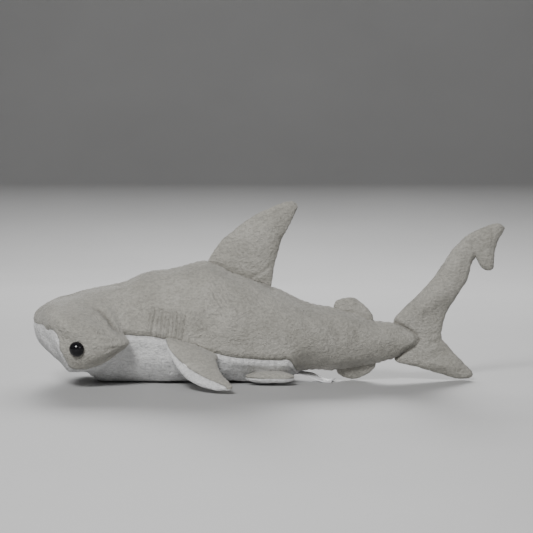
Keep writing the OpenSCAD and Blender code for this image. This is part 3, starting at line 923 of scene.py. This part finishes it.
def finPanel(name, fin, stuffing, side, material, node, slotName, mirror):
    last = len(fin["rows"]) - 1
    rows, cols = max(int(fin["length"]), 30), finFabric["columns"]
    u = np.repeat(np.linspace(0, last, rows)[:, None], cols, 1)
    wrap = math.radians(fin.get("wrap", 0)) * easeIn(u, fin.get("wrapFrom", 1), last * 0.6)
    share = np.linspace(0, 1, cols)[None, :]
    a = wrap + (math.pi - wrap) * share if side > 0 else wrap - (math.pi + wrap) * share
    grid = finPoint(fin, u, a)
    ring = a / (2 * math.pi) * finFabric["ring"]
    grid = grid + sampled(stuffing, u / last * (len(stuffing) - 1), ring)
    span = np.array(fin["rows"][-1][:3]) - np.array(fin["rows"][0][:3])
    chord = np.array(fin["rows"][0][3:6]) - np.array(fin["rows"][0][:3])
    inside = np.cross(chord, span) @ np.array(fin["up"], float) * side < 0
    normals = finNormals(fin, u, a) * (-1 if inside == (side > 0) else 1)
    widths = np.linalg.norm(np.diff(grid, axis=1), axis=2)
    run = np.concatenate([np.zeros((rows, 1)), np.cumsum(widths, axis=1)], axis=1)
    edge = np.minimum(run, run[:, -1:] - run)
    along = u / last * fin["length"]
    wave = np.sin(2 * np.pi * along / finFabric["puckerStep"] + 2.5 * softNoise(grid, 9, 31))
    seam = bump(edge, finFabric["grooveWidth"])
    move = finFabric["pucker"] * wave * bump(edge - 2.2, 2.6) - finFabric["groove"] * seam
    move = move + 0.25 * softNoise(grid, 15, 33) + 0.1 * softNoise(grid, 6, 34)
    for line, depth, width in fin.get("creases", []):
        away, place = lineDistance(np.stack([grid[..., 0], grid[..., 2]], -1), line)
        fade = np.sin(np.pi * np.clip(place, 0.03, 0.97)) ** 0.6
        move += fade * depth * (0.4 * bump(away - 2.3 * width, 1.3 * width) - bump(away, width))
    r = curveThrough(fin["rows"], u)
    move = move * np.clip(r[..., 6] / 4, 0.1, 1)
    fromRoot = lineDistance(grid, [fin["rows"][1][:3], fin["rows"][1][3:6]])[0]
    thick = r[..., 6] * np.sin(np.clip(a, 0, math.pi)) ** 0.8 if side > 0 else r[..., 6]
    # painted shade in the edge seam's groove and, by rootShade, round the fin's root
    shade = 0.4 * seam * (r[..., 6] > 1)
    shade = shade + fin["rootShade"] * bump(fromRoot - thick * 0.5, 2.5)
    if "overlap" in fin:
        # painted shade along the line where the body's tip lies over the fin
        fromTip = lineDistance(sideView(grid), fin["overlap"])[0]
        shade = shade + 0.8 * bump(fromTip, 1.3)
        move = move - finFabric["overlapGroove"] * bump(fromTip, 1.8)
    grid = grid + normals * move[..., None]
    grid[..., 2] = np.maximum(grid[..., 2], 0.2)
    if mirror:
        grid = grid * np.array([1, -1, 1])
    thickness = np.minimum(finFabric["thickness"], 0.35 * r[..., 6] + 0.05)
    piece = fabricPiece(name, grid, thickness, material, flip=inside != mirror, shade=shade)
    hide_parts(node)
    return piece


def makeFin(key, ending, nodes, mirror=False, under=False):
    # two panels, left or top first
    fin = fins[key]
    if key not in finMoves:
        finMoves[key] = finStuffing(key, fin)
    grey, white = (greyPlush, "grey_plush"), (whitePlush, "white_plush")
    for side, word, finish, node in (
        (1, fin["words"][0], grey, nodes[0]),
        (-1, fin["words"][1], white if under else grey, nodes[1]),
    ):
        name = key + word + ending
        piece = finPanel(name, fin, finMoves[key], side, finish[0], node, finish[1], mirror)
        bendAcross(piece, fin["fold"], -1 if mirror else 1)


finMoves = {}  # a fin is stuffed once, and the other side's copies it
for key, stem, finBody in (
    ("dorsalFin", "dorsal_fin_panel_", "dorsal_fin"),
    ("rearDorsal", "rear_dorsal_panel_", "rear_dorsal_fin"),
    ("analFin", "anal_fin_panel_", "anal_fin"),
    ("tailFin", "tail_fin_panel_", "tail_fin"),
):
    makeFin(key, "", (stem + "left", stem + "right"))
for sideName, mirror in (("left", False), ("right", True)):
    for key in ("pectoral", "pelvic"):
        nodePair = (key + "_top_" + sideName, key + "_under_" + sideName)
        makeFin(key, sideName.capitalize(), nodePair, mirror, under=True)
print("fins made")

# ---- fillings, stitches, eyes and label
def fillingPiece(name, rings, node):
    piece = closedForm(name, rings)
    piece.data.shade_smooth()
    piece.data.materials.append(polyesterFibre)
    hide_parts(node)
    return piece


filling = {
    "bodyDepth": 5.5,  # below the skin
    "finDepth": 3.0,
    "lump": 0.7,
    "ring": 72,
    "finRing": 36,
    "step": 3,
    "eyeHollow": 0.28,  # how far it gives way to an eye's shank and washer
    "eyeReach": 15,
}


def bodyFilling():
    rows = evenStations(0.9, stationCount - 2.5, filling["step"])
    angles = np.arange(filling["ring"]) * 360 / filling["ring"]
    u = np.repeat(rows[:, None], len(angles), 1)
    angle = np.repeat(angles[None, :], len(rows), 0)
    outside = skin(u, angle)
    depth = filling["bodyDepth"] + filling["lump"] * softNoise(outside, 9, 41)
    rings = outside - skinNormals(u, angle) * depth[..., None]
    middle = skin(u, np.zeros_like(u)) * 0.5 + skin(u, np.full_like(u, 180.0)) * 0.5
    nearEye = np.ones(rings.shape) * eyePlace
    nearEye[..., 1] *= np.where(rings[..., 1] < 0, 1, -1)
    fromEye = np.linalg.norm(outside - nearEye, axis=-1)
    hollow = filling["eyeHollow"] * bump(fromEye, filling["eyeReach"])
    rings = rings + (middle - rings) * hollow[..., None]
    return fillingPiece("bodyFilling", rings, "body_filling")


def finFilling(name, key, first, last, node, mirror=False):
    fin = fins[key]
    rows = max(int(fin["length"] / filling["step"]), 8)
    count = filling["finRing"]
    u = np.repeat(np.linspace(first, last, rows)[:, None], count, 1)
    a = np.repeat(np.arange(count)[None, :] * 2 * math.pi / count, rows, 0)
    whole = finPoint(fin, u, a)
    middle = (finPoint(fin, u, a * 0) + finPoint(fin, u, a * 0 + math.pi)) / 2
    inwards = middle - whole
    depth = np.minimum(filling["finDepth"], 0.6 * np.linalg.norm(inwards, axis=-1))
    rings = whole + unitVectors(inwards) * depth[..., None]
    rings = rings + 0.3 * softNoise(rings, 8, 43)[..., None]
    span = whole[-1, 0] - whole[0, 0]
    chord = whole[0, count // 2] - whole[0, 0]
    if (np.cross(chord, span) @ np.array(fin["up"], float) < 0) != mirror:
        rings = rings[:, ::-1]
    if mirror:
        rings = rings * np.array([1, -1, 1])
    return fillingPiece(name, rings, node)


bendAcross(bodyFilling(), body["tailFold"])
for key, last, finBody in (("dorsalFin", 7.5, "dorsal_fin"), ("tailFin", 17.0, "tail_fin")):
    first = 1.2 if key == "dorsalFin" else 1.5
    piece = finFilling(key + "Filling", key, first, last, finBody + "_filling")
    bendAcross(piece, fins[key]["fold"])
for sideName, mirror in (("left", False), ("right", True)):
    name, node = "pectoralFilling" + sideName.capitalize(), "pectoral_filling_" + sideName
    piece = finFilling(name, "pectoral", 1.2, 5.5, node, mirror)
    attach(piece, "pectoral_fin_" + sideName)
print("fillings made")

stitch = {"length": 2.3, "width": 0.7, "step": 2.7, "sink": 0.05}


def makeStitch():
    # one stitch of thread: a short rod with rounded ends, sunk in at both
    bpy.ops.object.select_all(action="DESELECT")
    bpy.ops.mesh.primitive_uv_sphere_add(segments=8, ring_count=6, radius=0.5)
    piece = bpy.context.active_object
    bpy.ops.object.mode_set(mode="EDIT")
    bpy.ops.mesh.select_all(action="SELECT")
    width, length = stitch["width"] * mm, stitch["length"] * mm
    bpy.ops.transform.resize(value=(width, width, length))
    bpy.ops.object.mode_set(mode="OBJECT")
    piece.data.shade_smooth()
    return piece


def surfaceFinder(piece):
    # finds where a point of the side view lies on a piece's outer face, and which way it faces
    count = len(piece.data.vertices) // 2
    points = np.zeros(len(piece.data.vertices) * 3)
    piece.data.vertices.foreach_get("co", points)
    points = points.reshape(-1, 3)[:count] / mm
    normals = np.array([v.normal for v in piece.data.vertices[:count]])
    flat = sideView(points)

    def find(target):
        away = np.linalg.norm(flat - target, axis=1)
        near = np.argsort(away)[:6]
        weight = 1 / (away[near] ** 2 + 0.05)
        weight = (weight / weight.sum())[:, None]
        return (points[near] * weight).sum(0), unitVectors((normals[near] * weight).sum(0))

    return find


def sewn(name, lines, material, node):
    # lines: lists of (point, outward) pairs, with a stitch between each pair and the next
    first = makeStitch()
    copies = []
    for line in lines:
        for (a, outA), (b, outB) in zip(line[:-1], line[1:]):
            copy = first.copy()
            copy.data = first.data.copy()
            bpy.context.scene.collection.objects.link(copy)
            way = unitVectors(b - a)
            outward = unitVectors(outA + outB)
            copy.location = Vector(((a + b) / 2 - outward * stitch["sink"]) * mm)
            copy.rotation_euler = Vector(way).to_track_quat("Z", "Y").to_euler()
            copies.append(copy)
    bpy.data.objects.remove(first, do_unlink=True)
    bpy.ops.object.select_all(action="DESELECT")
    for copy in copies:
        copy.select_set(True)
    bpy.context.view_layer.objects.active = copies[0]
    bpy.ops.object.join()
    piece = bpy.context.active_object
    bpy.ops.object.transform_apply(location=True, rotation=True, scale=True)
    piece.name = name
    piece.data.materials.clear()
    piece.data.materials.append(material)
    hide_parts(node)
    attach(piece, "torso")
    return piece


def gillStitches(name, panel, node):
    find = surfaceFinder(panel)
    lines = []
    for top, foot in zip(gills["tops"], gills["feet"]):
        top, foot = np.array(top), np.array(foot)
        across = unitVectors(np.array([foot[1] - top[1], top[0] - foot[0]]))
        count = int(np.linalg.norm(foot - top) / stitch["step"])
        for side in (-1, 1):
            offset = across * side * gills["halfWidth"]
            marks = [top + (foot - top) * k / count + offset for k in range(count + 1)]
            lines.append([find(mark) for mark in marks])
    return sewn(name, lines, greyThread, node)


gillStitches("gillStitchesLeft", sideLeft, "gill_stitching_left")
gillStitches("gillStitchesRight", sideRight, "gill_stitching_right")


mouth = {"halfAngle": 44, "stitches": 40, "apart": 0.12, "lift": 0.2}


def mouthStitches():
    # a row of stitches on each side of the mouth's seam
    half = mouth["halfAngle"]
    angles = np.linspace(180 - half, 180 + half, mouth["stitches"] + 1)
    lines = []
    for shift in (-mouth["apart"], mouth["apart"]):
        u = np.full_like(angles, body["mouth"] + shift)
        outward = skinNormals(u, angles)
        lines.append(list(zip(skin(u, angles) + outward * mouth["lift"], outward)))
    return sewn("mouthStitches", lines, whiteThread, "mouth_stitching")


mouthStitches()
print("stitches made")

label = {
    "path": [
        (27, -1, 8.8),
        (31, -2.2, 8.3),
        (38, -5, 7.3),
        (45, -7.7, 4.9),
        (51, -9.8, 2.2),
        (56, -11.3, 1.2),
        (61, -12.6, 1.9),
    ],
    "side": (0.28, 1, 0.05),
    "width": 19.0,
    "layer": 0.3,  # thickness of one of its two layers
    "curl": 0.7,
}


def careLabel():
    # a folded satin ribbon, blank, with its two layers lying together
    count, across = 60, 24
    u = np.linspace(0, len(label["path"]) - 1, count)
    line = curveThrough(label["path"], u)
    way = unitVectors(np.gradient(line, axis=0))
    side = unitVectors(np.array(label["side"]))
    up = unitVectors(np.cross(way, side))
    s = np.linspace(-0.5, 0.5, across)
    arch = label["curl"] * (np.cos(s * np.pi) - 0.6)
    ripple = 0.25 * np.sin(u[:, None] * 2.3 + s[None, :] * 4)
    grid = line[:, None] + s[None, :, None] * label["width"] * side
    grid = grid + up[:, None] * (arch[None, :] + ripple)[..., None]
    grid[..., 2] = np.maximum(grid[..., 2], 2 * label["layer"] + 0.2)
    piece = fabricPiece("careLabel", grid, label["layer"] * 2, labelSatin, flip=True)
    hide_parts("care_label")
    return piece


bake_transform(careLabel())
for sideName in ("left", "right"):
    for nodeName, material in (("eye_", eyeGloss), ("eye_washer_", washerPlastic)):
        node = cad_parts[nodeName + sideName]
        node.data.materials.clear()
        node.data.materials.append(material)
print("label and eyes made")

# ---- floor, lights and camera
def makeFloor():
    # a pale floor that sweeps up behind into a plain backdrop
    depth = [-12000, -3000, 0, 800, 1300]
    flat = [(y, 0) for y in depth]
    turns = np.linspace(0.1, 1.57, 14)
    curve = [(1300 + 1100 * math.sin(t), 1100 - 1100 * math.cos(t)) for t in turns]
    profile = np.array(flat + curve + [(2400, 2200), (2400, 4000)])
    across = np.linspace(-12000, 12000, 9)
    grid = np.array([[(x, y, z) for x in across] for y, z in profile])
    floor = newMesh("floor", grid.reshape(-1, 3), gridFaces(len(profile), len(across)))
    floor.data.shade_smooth()
    material, nodes, links, shader = newMaterial("paleFloor")
    place = nodes.new("ShaderNodeTexCoord").outputs["Object"]
    cloudy = noiseNode(nodes, links, place, 3, 3)
    links.new(
        rampNode(nodes, links, cloudy, 0.3, 0.7, (0.44, 0.44, 0.44), (0.47, 0.47, 0.47)),
        shader.inputs["Base Color"],
    )
    shader.inputs["Roughness"].default_value = 0.6
    floor.data.materials.append(material)


def areaLight(name, place, aim, size, power):
    light = bpy.data.lights.new(name, "AREA")
    light.shape = "RECTANGLE"
    light.size, light.size_y = size
    light.energy = power
    lamp = bpy.data.objects.new(name, light)
    bpy.context.scene.collection.objects.link(lamp)
    lamp.location = place
    lamp.rotation_euler = (Vector(aim) - Vector(place)).to_track_quat("-Z", "Y").to_euler()
    return lamp


makeFloor()
for lightName, settings in studio["lights"].items():
    areaLight(lightName, *settings)
world = bpy.data.worlds.new("studioWorld")
world.use_nodes = True
world.node_tree.nodes["Background"].inputs["Color"].default_value = studio["worldColour"]
world.node_tree.nodes["Background"].inputs["Strength"].default_value = studio["worldStrength"]
bpy.context.scene.world = world
cameraData = bpy.data.cameras.new("camera")
cameraData.lens = studio["lens"]
cameraData.sensor_width = 36
camera = bpy.data.objects.new("camera", cameraData)
bpy.context.scene.collection.objects.link(camera)
camera.location = (studio["aim"][0], -studio["distance"], studio["eyeHeight"])
sight = Vector(studio["aim"]) - camera.location
camera.rotation_euler = sight.to_track_quat("-Z", "Y").to_euler()
bpy.context.scene.camera = camera
print("floor, lights and camera placed")
